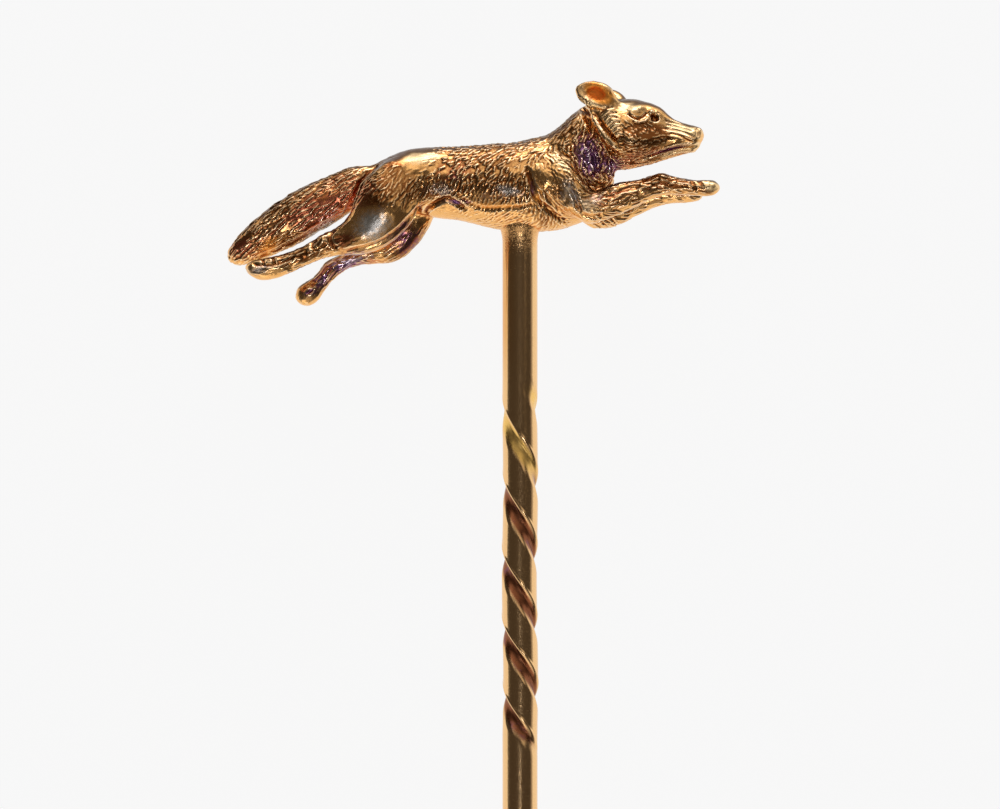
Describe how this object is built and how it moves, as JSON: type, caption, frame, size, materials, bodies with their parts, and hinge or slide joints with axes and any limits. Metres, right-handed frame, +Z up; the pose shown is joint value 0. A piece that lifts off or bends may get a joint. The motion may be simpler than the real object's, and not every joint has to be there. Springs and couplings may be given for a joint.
{
  "type": "stick pin",
  "caption": "Stick pin with a cast fox running at full stretch, soldered to a straight wire with a twisted, grooved grip and a tapered point.",
  "frame": {"origin": "middle of the laid pin's footprint, on the surface that it rests on", "axes": "+X the way the fox runs, +Y along the wire from the point towards the fox, +Z up, out of the fox's right side"},
  "size_m": [0.0182, 0.0606, 0.0028],
  "materials": {
    "gold": "worn and lightly tarnished yellow gold"
  },
  "bodies": {
    "root": {"stick_pin": "gold"}
  },
  "joints": []
}
